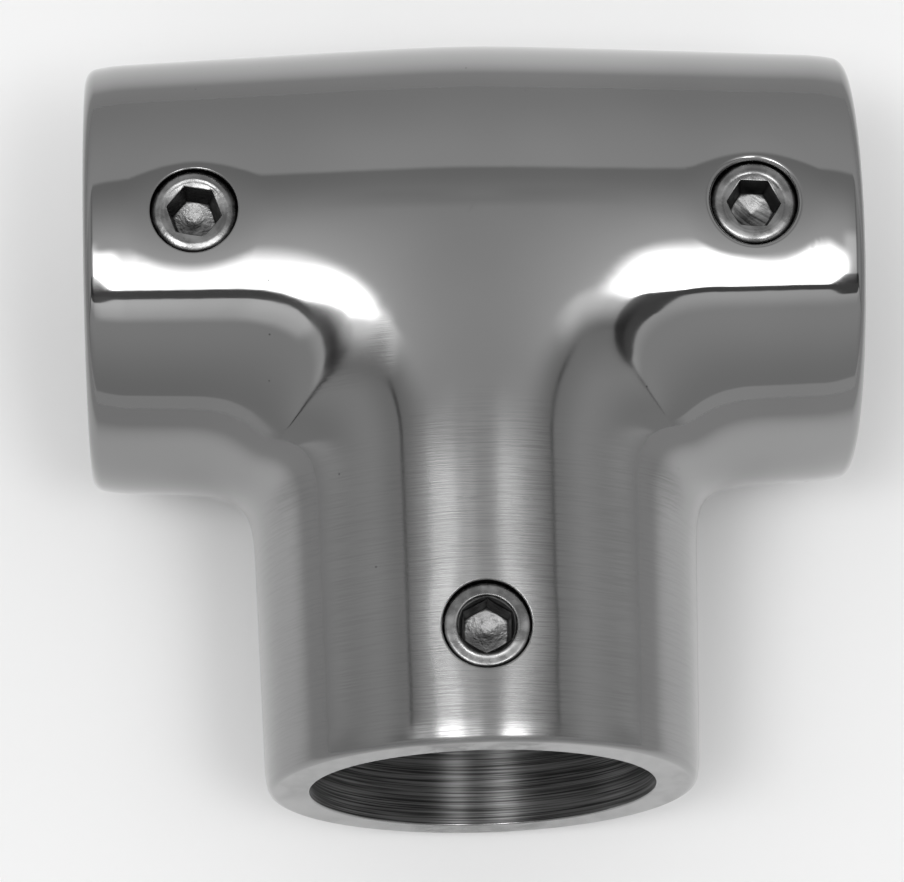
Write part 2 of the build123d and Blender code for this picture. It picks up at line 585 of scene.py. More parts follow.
def arm_patches(arm):
    """Skin, then the end's three profiles, then bore."""
    ends = [patch(*carried_round(arm, *profile), "skin") for profile in end_profiles(arm)]
    return skin_patches(arm) + ends + bore_patches(arm)


patches = [made for arm in ARMS for made in arm_patches(arm)]
print(len(patches), "patches,", sum(len(quads) for _, _, quads, _ in patches), "quads")

# %% [markdown]
# ## The casting as one mesh
#
# Neighbouring patches have the same points along their borders, so a weld by distance
# closes the mesh and leaves no edge open. The normals go in after it, a corner at a time,
# because the two sides of a sharp edge share a point but not a normal. An attribute keeps
# how much of each point is stem, for the direction of the polish.

# %% Put the casting together
WELD = 0.002  # points nearer than this are one


def weld_by_distance(mesh):
    """Joins points that lie together, and counts the edges that are still open."""
    work = bmesh.new()
    work.from_mesh(mesh)
    bmesh.ops.remove_doubles(work, verts=work.verts, dist=WELD * MM)
    open_edges = sum(not edge.is_manifold for edge in work.edges)
    work.to_mesh(mesh)
    work.free()
    return open_edges


def linked_piece(name, mesh):
    """An object for a finished mesh, at the origin, in the scene."""
    piece = bpy.data.objects.new(name, mesh)
    bpy.context.scene.collection.objects.link(piece)
    return piece


def make_casting():
    """One mesh from all patches, with corner normals and the stem's share per point."""
    points, normals, quads, finishes = zip(*patches)
    first = np.cumsum([0] + [len(flat) for flat in points[:-1]])
    faces = np.concatenate([own + start for own, start in zip(quads, first)])
    corner_normals = np.concatenate([up[own].reshape(-1, 3) for up, own in zip(normals, quads)])
    finish = np.repeat(finishes, [len(own) for own in quads])

    mesh = bpy.data.meshes.new("tee_casting")
    mesh.from_pydata((np.concatenate(points) * MM).tolist(), [], faces.tolist())
    mesh.polygons.foreach_set("material_index", finish.astype(np.int32))
    mesh.polygons.foreach_set("use_smooth", np.ones(len(faces), bool))
    open_edges = weld_by_distance(mesh)
    assert len(mesh.loops) == corner_normals.shape[0], "a quad collapsed in the weld"
    mesh.normals_split_custom_set(corner_normals.tolist())

    places = np.empty(len(mesh.vertices) * 3, np.float32)
    mesh.vertices.foreach_get("co", places)
    share = casting_field(places.reshape(-1, 3).astype(float) / MM)[1].astype(np.float32)
    mesh.attributes.new("on_stem", "FLOAT", "POINT").data.foreach_set("value", share)
    print("casting:", len(places) // 3, "points,", len(faces), "quads,", open_edges, "open edges")
    return linked_piece("tee_casting", mesh)


casting = make_casting()
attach(casting, "tee")
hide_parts("tee_body")

# %% [markdown]
# ## Socket set screws
#
# A set screw is turned from bar: a chamfered tip, a thread and a faced end. Its socket
# is drilled first, which leaves a cone at the bottom, and a six-sided punch then squares
# the walls. Keys wear the mouth to a soft lip that catches the light, on each screw
# differently. A Screw modifier and a Boolean could make it. Here it is one list of rings,
# a radius and a height for every angle, from the tip up the thread, over the face and
# down the socket, so that it closes without a cut.

# %% Sizes of the screws
SPOKES = 120  # points round each ring
SCREW_RADIUS = 3.175
SCREW_LENGTH = 3.0
THREAD_PITCH = 0.907  # 28 threads to the inch, the fine series
THREAD_DEPTH = 0.5
THREAD_START = 0.35  # how far above the tip's end the thread begins
RUN_OUT = (0.25, 0.02)  # over how far the groove fades, and how far below the key end it is gone
RINGS_PER_THREAD = 14
KEY_END_RINGS = 30
TIP_POINT = 0.16  # how far the tip is hollowed in its middle

spokes = np.arange(SPOKES) / SPOKES * 2 * np.pi

# The turned tip: (radius, height above the screw's end)
TIP = [(0.8, 0.12), (1.5, 0.02), (1.9, 0.0), (2.3, 0.0), (2.45, 0.03), (2.6, 0.15), (2.68, 0.3)]

# The worn key ends, from the thread's top to the socket's rim: (radius, height)
KEY_ENDS = {
    "left": [
        (3.175, -0.5), (3.13, -0.36), (3.06, -0.24), (2.96, -0.15), (2.84, -0.09), (2.7, -0.045),
        (2.58, -0.01), (2.48, 0.0), (2.39, -0.02), (2.29, -0.05), (2.17, -0.07),
    ],
    "right": [
        (3.175, -0.5), (3.14, -0.36), (3.06, -0.22), (2.95, -0.12), (2.8, -0.05), (2.64, -0.015),
        (2.5, 0.0), (2.4, 0.0), (2.3, -0.02), (2.2, -0.06), (2.12, -0.11),
    ],
    "stem": [
        (3.175, -0.42), (3.15, -0.3), (3.1, -0.19), (3.0, -0.11), (2.88, -0.07), (2.6, -0.05),
        (2.45, -0.03), (2.33, 0.0), (2.25, -0.005), (2.2, -0.05), (2.15, -0.14),
    ],
}
print("a screw has", len(np.arange(THREAD_START, SCREW_LENGTH, THREAD_PITCH)), "turns of thread")


# %% Rings that a lathe makes
def turned(profile):
    """A turned part: each (radius, height) of the profile is the same at every angle."""
    return np.repeat(np.array(profile, float)[:, None, :], SPOKES, axis=1)


def smooth_line(stations, steps):
    """A line run smoothly through a few stations: cubic Hermite, by their own numbering."""
    stations = np.array(stations)
    fine = np.linspace(0, len(stations) - 1, steps)
    slopes = np.gradient(stations, axis=0)
    low = np.clip(fine.astype(int), 0, len(stations) - 2)
    t = (fine - low)[:, None]
    h00, h10 = (1 + 2 * t) * (1 - t) ** 2, t * (1 - t) ** 2
    h01, h11 = t**2 * (3 - 2 * t), t**2 * (t - 1)
    return h00 * stations[low] + h10 * slopes[low] + h01 * stations[low + 1] + h11 * slopes[low + 1]


def thread(top):
    """A helical thread up to top: radius = screw radius - depth * (1 - ridge) * fade.

    The turn's phase is height / pitch - angle / 2 pi. The ridge is a flat-topped wave of
    that phase, 1.25 - 2.5 |phase - 0.5| kept between 0 and 1.
    """
    height = np.arange(THREAD_START - SCREW_LENGTH, top, THREAD_PITCH / RINGS_PER_THREAD)[:, None]
    phase = (height / THREAD_PITCH - spokes / (2 * np.pi)) % 1
    ridge = np.clip(1.25 - 2.5 * np.abs(phase - 0.5), 0, 1)
    fade = np.clip((top - RUN_OUT[1] - height) / RUN_OUT[0], 0, 1)
    radius = SCREW_RADIUS - THREAD_DEPTH * (1 - ridge) * fade
    return np.stack(np.broadcast_arrays(radius, height), axis=-1)


print("thread:", thread(KEY_ENDS["left"][0][1]).shape[:2], "rings and spokes")

# %% The socket
WALL_DEPTH = 2.3
FLOOR_SLOPE = 17.0  # degrees, of the cone that the drill left

# Each socket: mouth and floor across the flats, slope of the lead in, and how much of the walls'
# painted shade and dirt, pits and dullness its lead in takes
SOCKETS = {
    "left": (3.6, 2.85, 0.2, 0.0),
    "right": (3.5, 2.85, 0.35, 0.0),
    "stem": (3.5, 3.15, 1.1, 0.4),
}
MOUTH_DROP = 0.04  # the least that a lead in goes down
LEAD_IN = (0.35, 0.7, 1.0)  # shares of the way from the rim to the hexagon's mouth
WALL = np.linspace(0.04, 1, 8)  # and of the way down the walls
CONE = (0.07, 0.14, 0.22, 0.32, 0.44, 0.56, 0.7, 0.84, 0.95)  # and down the drilled cone


def hexagon_radius(across_flats):
    """Distance from the middle to a hexagon's side: (flats / 2) / cos(angle to the side)."""
    return across_flats / 2 / np.cos((spokes % (np.pi / 3)) - np.pi / 6)


def between(first, second, shares):
    """Rings on the straight way between two rings: first * (1 - share) + second * share."""
    shares = np.array(shares)[:, None, None]
    return first * (1 - shares) + second * shares


def socket_rings(arm):
    """Lead in, walls that a worn punch left a little narrower below, and the drilled cone."""
    mouth_size, floor_size, slope, _ = SOCKETS[arm]
    rim = turned(KEY_ENDS[arm][-1:])[0]
    mouth = hexagon_radius(mouth_size)
    drop = MOUTH_DROP + slope * (rim[:, 0] - mouth)
    mouth = np.stack([mouth, rim[:, 1] - drop], axis=-1)
    foot = np.stack([hexagon_radius(floor_size), np.full(SPOKES, -WALL_DEPTH)], axis=-1)
    edge = turned([(floor_size / 2, -WALL_DEPTH)])[0]
    fall = math.tan(math.radians(FLOOR_SLOPE)) * floor_size / 2
    middle = turned([(0, -WALL_DEPTH - fall)])[0]
    return between(rim, mouth, LEAD_IN), between(mouth, foot, WALL), between(edge, middle, CONE)


for arm in SOCKETS:
    print(arm, "socket goes down to", socket_rings(arm)[2][..., 1].min().round(2), "mm")

# %% Make the screws
KEY_TURNS = {"left": -10.5, "right": -3.5, "stem": 27.5}  # how each hexagon stopped, degrees
SHARP_ANGLE = 38.0  # two faces that meet more sharply than this keep their edge
BLUNT = 0.01  # how far the cone's middle lies below its last ring


def closed_rings(rings, low_end, high_end):
    """Quads between the rings and a fan of triangles to a point at each end."""
    count = len(rings)
    number = np.arange(count * SPOKES).reshape(count, SPOKES)
    after = np.roll(number, -1, axis=1)
    quads = np.stack([number[:-1], after[:-1], after[1:], number[1:]], axis=-1).reshape(-1, 4)
    first, last = np.full(SPOKES, count * SPOKES), np.full(SPOKES, count * SPOKES + 1)
    tip = np.column_stack([first, after[0], number[0]])
    bottom = np.column_stack([last, number[-1], after[-1]])
    points = np.concatenate([rings.reshape(-1, 3), [low_end, high_end]])
    return points, quads.tolist() + tip.tolist() + bottom.tolist()


def make_screw(arm, name):
    """One set screw: its rings turned to where its hexagon stopped, put in its place."""
    end = turned(smooth_line(KEY_ENDS[arm], KEY_END_RINGS))
    outside = (turned(TIP) - (0, SCREW_LENGTH), thread(KEY_ENDS[arm][0][1]), end)
    radius, height = np.moveaxis(np.concatenate([*outside, *socket_rings(arm)]), -1, 0)
    angles = spokes + math.radians(KEY_TURNS[arm])
    place = screw_places[arm]
    rings = np.stack([radius * np.cos(angles), radius * np.sin(angles), height], axis=-1) + place
    tip = place + (0, 0, TIP_POINT - SCREW_LENGTH)
    points, faces = closed_rings(rings, tip, place + (0, 0, height[-1].mean() - BLUNT))

    mesh = bpy.data.meshes.new(name)
    mesh.from_pydata((points * MM).tolist(), [], faces)
    mesh.polygons.foreach_set("use_smooth", np.ones(len(faces), bool))
    mesh.set_sharp_from_angle(angle=math.radians(SHARP_ANGLE))
    # 0 outside, the rim's own value on the lead in, a half on the walls, which get a painted shade with
    # some dirt, and 1 on the floor
    counts = (len(LEAD_IN) - 1, 1 + len(WALL), len(CONE))
    pits_and_wall_shade = np.repeat([0, SOCKETS[arm][3], 0.5, 1], [len(rings) - sum(counts), *counts])
    pits_and_wall_shade = np.append(pits_and_wall_shade.repeat(SPOKES), [0, 1]).astype(np.float32)
    mesh.attributes.new("pits_and_wall_shade", "FLOAT", "POINT").data.foreach_set("value", pits_and_wall_shade)
    print(name, len(faces), "faces, top", round(points[:, 2].max(), 3))
    return linked_piece(name, mesh)


screws = []
for arm, name in (("left", "left_run_screw"), ("right", "right_run_screw"), ("stem", "stem_screw")):
    screw = make_screw(arm, name)
    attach(screw, name)
    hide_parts(SCREW_NODES[arm])
    screws.append(screw)

# %% [markdown]
# ## Colours and nodes
#
# Blender works with linear light, while colours are written as sRGB, so one function
# turns one into the other. One more adds any shader node with its settings and links,
# which keeps a material readable from top to bottom. Every pattern is measured in
# millimetres on the piece itself, so it stays in place when the piece moves.


# %% A colour, a node, a place in millimetres
def linear(hex_colour):
    """An sRGB colour such as "#C8C8C8" as the linear red, green, blue, alpha it stands for."""
    parts = [int(hex_colour[i : i + 2], 16) / 255 for i in (1, 3, 5)]
    return [p / 12.92 if p <= 0.04045 else ((p + 0.055) / 1.055) ** 2.4 for p in parts] + [1.0]


def node(tree, kind, inputs=(), output=0, **settings):
    """Adds one shader node and gives back one of its outputs.

    Inputs are {name or number: value}, or just the values in the node's own order. A
    value that is another node's output is linked, and any other is set on the socket.
    """
    new = tree.nodes.new("ShaderNode" + kind)
    for name, value in settings.items():
        setattr(new, name, value)
    for key, value in inputs.items() if isinstance(inputs, dict) else enumerate(inputs):
        if isinstance(value, bpy.types.NodeSocket):
            tree.links.new(value, new.inputs[key])
        else:
            new.inputs[key].default_value = value
    return new.outputs[output] if new.outputs else new


def empty_material(name):
    """A material without nodes, its node tree, and the place on the piece in millimetres."""
    material = bpy.data.materials.new(name)
    material.use_nodes = True
    tree = material.node_tree
    tree.nodes.clear()
    place = node(tree, "TexCoord", output="Object")
    return material, tree, node(tree, "VectorMath", {0: place, "Scale": 1 / MM}, operation="SCALE")


print("a mid grey, #808080, is", round(linear("#808080")[0], 3), "in linear light")

# %% [markdown]
# ## Soft edges
#
# Much of what follows holds only in one area: the belt marked the stem but not the run,
# and a lamp fills only part of the sky. A painted mask could say where, but it would have
# to be drawn by hand. Here an area is a list of soft edges on measures such as the
# distance along the stem, with a Map Range node for each. Colours go on in coats, each
# with its own share.


# %% Soft edges and coats of colour
def masked(tree, inside, outside, *edges):
    """One value inside an area with soft edges, another outside it.

    Each edge is (measure, gone, full): the area has ended where the measure is gone and
    holds where it is full. Between the two it follows the smooth step t^2 (3 - 2 t).
    """
    for measure, gone, full in edges:
        limits = (measure, gone, full, outside, inside)
        inside = node(tree, "MapRange", limits, interpolation_type="SMOOTHSTEP")
    return inside


def coated(tree, base, *coats):
    """A base colour under coats of others: each is (share, colour), mixed in by its share.

    A Mix node's inputs go by number: 2 and 3 are numbers, 4 and 5 vectors, 6 and 7 colours.
    """
    colour = linear(base)
    for share, coat in coats:
        layers = {0: share, 6: colour, 7: linear(coat)}
        colour = node(tree, "Mix", layers, output=2, data_type="RGBA")
    return colour


print("a quarter of the way in, a soft edge lets through", 0.25**2 * (3 - 2 * 0.25))

# %% [markdown]
# ## Buffed cast stainless
#
# The casting was ground with belts and then buffed with compound. The run is nearly a
# mirror, with the slight unevenness of a wheel held by hand. Round the stem the belt's
# fine marks stay. They draw a lamp out into a streak across them, and a bump map alone
# would need far finer marks to do that. The Principled shader's anisotropy does it, along
# its tangent: the axis of the run on the run and of the stem on the stem, and the
# attribute made with the mesh leads from one to the other through the valley.

# %% Skin: the way of the marks
skin, tree, place = empty_material("buffed_cast_stainless")
on_stem = node(tree, "Attribute", output="Fac", attribute_name="on_stem")
two_axes = {0: on_stem, 4: (1, 0, 0), 5: (0, 1, 0)}
across_marks = node(tree, "Mix", two_axes, output=1, data_type="VECTOR")
across = node(tree, "SeparateXYZ", {0: place})
reach = across.node.outputs[1]
off_middle = node(tree, "Math", (across,), operation="ABSOLUTE")
print("skin, way of the marks:", len(tree.nodes), "nodes")

# %% [markdown]
# The belt's marks are as fine as its grit, seventeen in two millimetres, and some
# millimetres long. They are a noise that is squeezed along the stem. Two softer noises
# stand for how evenly the wheel was held and for the film on the metal.

# %% Skin: marks and clouds
MARK_SPACING = 2 / 17  # mm, as a 150 grit belt leaves them
MARK_LENGTH = 1 / 0.26
CLOUD_SIZE = 6.25  # about as wide as one touch of the wheel
STAIN_SIZE = 1 / 0.045  # patches of film

mark_size = (MARK_LENGTH, MARK_SPACING, MARK_LENGTH)
marks_at = node(tree, "VectorMath", (place, mark_size), operation="DIVIDE")
marks = node(tree, "TexNoise", {"Vector": marks_at, "Scale": 1, "Detail": 1.5, "Roughness": 0.6})
cloud = node(tree, "TexNoise", {"Vector": place, "Scale": 1 / CLOUD_SIZE, "Detail": 3})
stain = node(tree, "TexNoise", {"Vector": place, "Scale": 1 / STAIN_SIZE, "Detail": 2})
print("marks per mm:", 1 / MARK_SPACING, "clouds per mm:", 1 / CLOUD_SIZE)

# %% [markdown]
# How brushed each place is comes on top of the mirror's own roughness. The belt reached
# into the valleys beside the stem, most of all the left one, then went along the stem to
# its mouth, hardest along the middle. Reach is negative, since the stem points along -Y.

# %% Skin: how brushed it is
VALLEYS = ((on_stem, 0.49, 0.62), (reach, -6.2, -8.5), (reach, -14.5, -12.0), (off_middle, 5.6, 7.4))

left_first = masked(tree, 0.16, 0.056, (across, 2, -2))
in_valleys = masked(tree, left_first, 0, *VALLEYS)
up_stem = masked(tree, 0.05, 0, (on_stem, 0.60, 0.90), (reach, -10, -14.5))
middle_first = masked(tree, 0.045, 0.125, (off_middle, 4.2, 5.4))
near_mouth = masked(tree, middle_first, 0, (reach, -13, -23))
brushed = node(tree, "Math", (in_valleys, up_stem), operation="ADD")
brushed = node(tree, "Math", (brushed, near_mouth), operation="ADD")

mirror = masked(tree, 0.075, 0.045, (cloud, 0.3, 0.7))
uneven_marks = masked(tree, 1.2, 0.8, (marks, 0.3, 0.7))
roughness = node(tree, "Math", (brushed, uneven_marks, mirror), operation="MULTIPLY_ADD")
print("skin, brushed:", len(tree.nodes), "nodes")

# %% [markdown]
# A casting has a few pin holes, where gas was caught, and buffing opens them: dark specks
# about a tenth of a millimetre wide, here the middles of some Voronoi cells. The tone is
# darker than fresh stainless, as under a film of handling. The deepest marks are darker
# still, because light is lost in them. They fade out on the mouth's ring, which was faced.

# %% Skin: tone, pin holes and deep marks
PIN_HOLE_SPACING = 2.5  # mm, and two cells in five have one

nearest = node(tree, "TexVoronoi", {"Vector": place, "Scale": 1 / PIN_HOLE_SPACING})
lot = node(tree, "SeparateXYZ", {0: nearest.node.outputs["Color"]})
pin_holes = masked(tree, 1, 0, (nearest, 0.04, 0.015), (lot, 0.60, 0.61))
stained = masked(tree, 1, 0, (stain, 0.3, 0.7))

SCORED = ((marks, 0.44, 0.64), (brushed, 0.03, 0.12), (reach, -11, -15), (reach, -40.1, -39.7))
scored = masked(tree, masked(tree, 0.18, 0.36, (off_middle, 5, 6)), 0, *SCORED)
colour = coated(tree, "#919191", (stained, "#9A9A9A"), (pin_holes, "#5E5E5E"), (scored, "#767676"))
print("skin, tone:", len(tree.nodes), "nodes")

# %% Skin: relief and shader
MARK_DEPTH = 0.01 * MM
CLOUD_DEPTH = 0.1 * MM

mark_strength = masked(tree, 0.75, 0.02, (brushed, 0.02, 0.12))
relief = node(tree, "Bump", {"Height": marks, "Strength": mark_strength, "Distance": MARK_DEPTH})
waves = {"Height": cloud, "Strength": 0.10, "Distance": CLOUD_DEPTH, "Normal": relief}
relief = node(tree, "Bump", waves)
finish = {"Base Color": colour, "Metallic": 1, "Roughness": roughness, "Anisotropic": 1}
shader = node(tree, "BsdfPrincipled", {**finish, "Tangent": across_marks, "Normal": relief})
node(tree, "OutputMaterial", {"Surface": shader})
print(skin.name, len(tree.nodes), "nodes")

# %% [markdown]
# ## Bored stainless
#
# A boring bar leaves a fine spiral groove, with the tool's chatter in between, and no one
# polishes it, since a tube hides it. The marks run round the bore, so a lamp is drawn out
# along it, as two streaks from the mouth inwards. A modelled spiral would need millions
# of faces. A sine along the axis and a noise that is squeezed along it look the same.

# %% The walls of the bores
GROOVE_PITCH = 0.9  # coarser than a real feed of 0.2 mm, so that it shows
CHATTER_SPACING = 1 / 7.2  # the fine marks in between, about a real feed apart
CHATTER_LENGTH = 100 / 9
GROOVE_SHARE = 0.12  # how much of the relief is groove, next to the chatter
GROOVE_DEPTH = 0.04 * MM


def bored_stainless(name, axis):
    """A turned wall: relief = chatter + share * sin(2 pi * distance along the axis / pitch)."""
    material, tree, place = empty_material(name)
    size = [CHATTER_LENGTH] * 3
    size["XYZ".index(axis)] = CHATTER_SPACING
    squeezed = node(tree, "VectorMath", (place, size), operation="DIVIDE")
    chatter = node(tree, "TexNoise", {"Vector": squeezed, "Scale": 1, "Detail": 2, "Roughness": 0.6})
    along = node(tree, "SeparateXYZ", {0: place}, output=axis)
    turns = node(tree, "Math", (along, 2 * math.pi / GROOVE_PITCH), operation="MULTIPLY")
    groove = node(tree, "Math", (turns,), operation="SINE")
    height = node(tree, "Math", (groove, GROOVE_SHARE, chatter), operation="MULTIPLY_ADD")
    relief = node(tree, "Bump", {"Height": height, "Strength": 0.45, "Distance": GROOVE_DEPTH})
    colour = coated(tree, "#484848", (masked(tree, 1, 0, (chatter, 0.34, 0.68)), "#9A9A9A"))
    dullness = masked(tree, 0.50, 0.36, (chatter, 0.3, 0.7))
    # the Tangent socket has no value of its own, so the bore's axis comes over a link
    bore_axis = node(tree, "CombineXYZ", {axis: 1})
    finish = {"Base Color": colour, "Metallic": 1, "Roughness": dullness, "Anisotropic": 1}
    shader = node(tree, "BsdfPrincipled", {**finish, "Tangent": bore_axis, "Normal": relief})
    node(tree, "OutputMaterial", {"Surface": shader})
    print(name, len(tree.nodes), "nodes")
    return material


run_bore = bored_stainless("bored_run_stainless", "X")
stem_bore = bored_stainless("bored_stem_stainless", "Y")
for material in (skin, run_bore, stem_bore, stem_bore):  # in the order of FINISHES
    casting.data.materials.append(material)

# %% [markdown]
# ## Worn screw steel
#
# The screws are plain turned stainless, duller than the casting and scuffed by keys. The
# walls of the sockets are painted dark, a painted shade with some dirt, the drilled floors
# have pits, and the right screw has straight marks, as of a file. Three materials could do
# it, but one serves all: the attribute made with the mesh is 0 outside, a half on the walls
# with their painted shade and dirt and 1 on the floors with pits, and X finds the right screw.

# %% The steel of the screws
GRAIN_SIZE = 1 / 2.2  # coarser than real scuffs of 0.1 mm, so that they show
BLOTCH_SIZE = 1 / 0.7  # rubbed and dull patches
FILE_SPACING = 1 / 2.6  # as of a smooth file, 26 teeth to the centimetre
FILE_LENGTH = 1 / 0.35
FILE_TURN = math.radians(38)  # which way it went over the right screw
SCUFF_DEPTH = 0.12 * MM

steel, tree, place = empty_material("worn_screw_steel")
pits_and_wall_shade = node(tree, "Attribute", output="Fac", attribute_name="pits_and_wall_shade")
scuffs = {"Vector": place, "Scale": 1 / GRAIN_SIZE, "Detail": 3, "Roughness": 0.65}
grain = node(tree, "TexNoise", scuffs)
blotch = node(tree, "TexNoise", {"Vector": place, "Scale": 1 / BLOTCH_SIZE, "Detail": 3})
filed = node(tree, "VectorRotate", {"Vector": place, "Angle": FILE_TURN}, rotation_type="Z_AXIS")
file_size = (FILE_LENGTH, FILE_SPACING, FILE_LENGTH)
filed = node(tree, "VectorMath", (filed, file_size), operation="DIVIDE")
file_marks = node(tree, "TexNoise", {"Vector": filed, "Scale": 1, "Detail": 1})
print("screw steel, patterns:", len(tree.nodes), "nodes")

# %% Relief, tone and shader of the screws
on_right = masked(tree, 0.75, 0, (node(tree, "SeparateXYZ", {0: place}), 14, 16))
rough = node(tree, "Mix", {0: on_right, 2: grain, 3: file_marks})
depth = node(tree, "Math", (masked(tree, 1, 0.2, (pits_and_wall_shade, 0, 1)), rough), operation="MULTIPLY")
relief = node(tree, "Bump", {"Height": depth, "Strength": 0.8, "Distance": SCUFF_DEPTH})
rubbed = masked(tree, 1, 0, (blotch, 0.35, 0.7))
# the socket walls' dark tone is a painted shade, with some dirt
wall_shade_and_dirt = masked(tree, 1, 0, (pits_and_wall_shade, 0.25, 0.45), (pits_and_wall_shade, 0.95, 0.55))
colour = coated(tree, "#767676", (rubbed, "#A0A0A0"), (wall_shade_and_dirt, "#2E2E2E"))
scuffed = masked(tree, 0.34, 0.22, (blotch, 0.3, 0.7))
dullness = node(tree, "Math", (pits_and_wall_shade, 0.12, scuffed), operation="MULTIPLY_ADD")
finish = {"Base Color": colour, "Metallic": 1, "Roughness": dullness, "Normal": relief}
node(tree, "OutputMaterial", {"Surface": node(tree, "BsdfPrincipled", finish)})
for screw in screws:
    screw.data.materials.append(steel)
print(steel.name, len(tree.nodes), "nodes on", len(screws), "screws")

# %% [markdown]
# ## A table of white card
#
# The fitting lies on matt white card, which its lower flanks mirror. A Diffuse shader is
# all that card needs. Further out it is painted a light grey, a painted shade as beyond the
# lamps' reach, so that in the metal the card meets the walls without a hard line.

# %% The floor
FLOOR_HALF = 3.0  # metres
CARD_LIT = (60, 150)  # mm from the middle: lit up to here, grey from there

card, tree, place = empty_material("matt_white_card")
away = node(tree, "VectorMath", {0: place}, output="Value", operation="LENGTH")
# the card is white, and the grey it turns beyond CARD_LIT is painted shade
colour = coated(tree, "#F6F6F6", (masked(tree, 1, 0, (away, *CARD_LIT)), "#C2C2C2"))
node(tree, "OutputMaterial", {"Surface": node(tree, "BsdfDiffuse", {"Color": colour})})

corners = FLOOR_HALF * np.array([(-1, -1, 0), (1, -1, 0), (1, 1, 0), (-1, 1, 0)])
floor_mesh = bpy.data.meshes.new("floor")
floor_mesh.from_pydata((corners + (0, 0, cad_low.z)).tolist(), [], [(0, 1, 2, 3)])
floor_mesh.materials.append(card)
floor = linked_piece("floor", floor_mesh)
print("floor at", round(cad_low.z / MM, 3), "mm")

# %% [markdown]
# ## The studio as a world
#
# A mirror shows its room, so the room is half of this picture. Polished ware is shown in a
# tent of grey cloth, with lamps behind the cloth and a black card that draws dark lines
# into the metal. Lamps and card could stand round the object, but they would light the
# floor unevenly. The world is simpler: all of it is infinitely far away, so a direction
# alone says what is there. Directions are measured as angles sideways and forward from
# straight up, and as slopes, x / z and y / z, on which a straight card has straight edges.

# %% Directions in the studio
world = bpy.data.worlds.new("studio")
bpy.context.scene.world = world
world.use_nodes = True
tree = world.node_tree
tree.nodes.clear()

LEAST_HEIGHT = 0.001  # keeps the slopes finite at the horizon and below it

x = node(tree, "SeparateXYZ", {0: node(tree, "TexCoord", output="Generated")})
y, z = x.node.outputs[1], x.node.outputs[2]
above = node(tree, "Math", (z, LEAST_HEIGHT), operation="MAXIMUM")
slope_across = node(tree, "Math", (x, above), operation="DIVIDE")
slope_ahead = node(tree, "Math", (y, above), operation="DIVIDE")
off_side = node(tree, "Math", (slope_across,), operation="ABSOLUTE")
angles = []
for part in (x, y):
    radians = node(tree, "Math", (part, z), operation="ARCTAN2")
    angles.append(node(tree, "Math", (radians,), operation="DEGREES"))
sideways, forward = angles
turned_away = node(tree, "Math", (sideways,), operation="ABSOLUTE")
print("studio, directions:", len(tree.nodes), "nodes")

# %% [markdown]
# ### The tent's cloth
#
# Cloth that is lit from outside is never even. It is lightest near the lamps, a little in
# front of straight above, and darker ahead, to the sides and low in front. A dark seam
# runs along both sides of the tent's opening. One smooth gradient would look like
# plastic, so areas with soft edges lie over each other.

# %% The cloth
OPENING = ((off_side, 0.82, 0.78), (slope_ahead, 0.78, 0.70))
SEAM = ((off_side, 0.770, 0.782), (off_side, 0.827, 0.815), (slope_ahead, 0.78, 0.70), (forward, -6, 2))
SEAM_LIGHT = 0.3  # the share of the cloth's light that comes through its seam

sides = masked(tree, 0.50, 0.38, (turned_away, 40, 56), (turned_away, 78, 56))
over_object = masked(tree, 0.88, 0.33, (forward, 36, -12), (turned_away, 38, 22))
beyond = masked(tree, 0.42, 0.57, (forward, 37, 95))
upper = masked(tree, over_object, sides, *OPENING)
upper = masked(tree, beyond, upper, (slope_ahead, 0.70, 0.78))
seam = node(tree, "Math", (upper, SEAM_LIGHT), operation="MULTIPLY")
upper = masked(tree, seam, upper, *SEAM)

front = masked(tree, 0.50, 0.36, (forward, -80, -40))
front = masked(tree, 0.78, front, (forward, -40, -30))
strip = masked(tree, 0.35, 0, (sideways, -30, -24), (sideways, -4, -8), (forward, -42, -37))
front = node(tree, "Math", (front, strip), operation="ADD")
print("studio, cloth:", len(tree.nodes), "nodes")

# %% [markdown]
# ### The black card
#
# A long black card in front of the lamps gives the dark line below the bright band along
# the fitting. It bows and thickens to both sides, which bends the line into the two hooks
# beside the stem. A mesh could hang there, but it would also shade the floor. The front's
# cloth begins behind it, and below the tent's hem a plain grey takes over.

# %% The card, and the hem of the tent
BOW_START, BOW = 1.3, 0.32  # the slope where the card starts to bow, and how much
CARD_ENDS = ((off_side, 0.24, 0.46), (off_side, 1.6, 1.0))  # where it is thicker
RIGHT_HALF = (slope_across, -0.02, 0.05)
HEM_RISE = 0.13  # how far the hem comes up towards the front
CARD_LIGHT = 0.15  # what the card gives back, next to the cloth that it hides

bow = node(tree, "Math", (off_side, BOW, -BOW_START * BOW), operation="MULTIPLY_ADD")
bow = node(tree, "Math", (bow, 0), operation="MAXIMUM")
along_card = node(tree, "Math", (slope_ahead, bow), operation="ADD")

right_half = masked(tree, 1, 0, RIGHT_HALF)
higher = masked(tree, masked(tree, 0.11, 0.16, (right_half, 0, 1)), 0, *CARD_ENDS)
lower = masked(tree, masked(tree, 0.08, 0.05, (slope_across, -0.4, 0.5)), 0, *CARD_ENDS)
top_edge = node(tree, "Math", (along_card, higher), operation="SUBTRACT")
top_edge = node(tree, "Math", (right_half, 0.06, top_edge), operation="MULTIPLY_ADD")
foot_edge = node(tree, "Math", (along_card, lower), operation="ADD")
foot_edge = node(tree, "Math", (right_half, 0.02, foot_edge), operation="MULTIPLY_ADD")

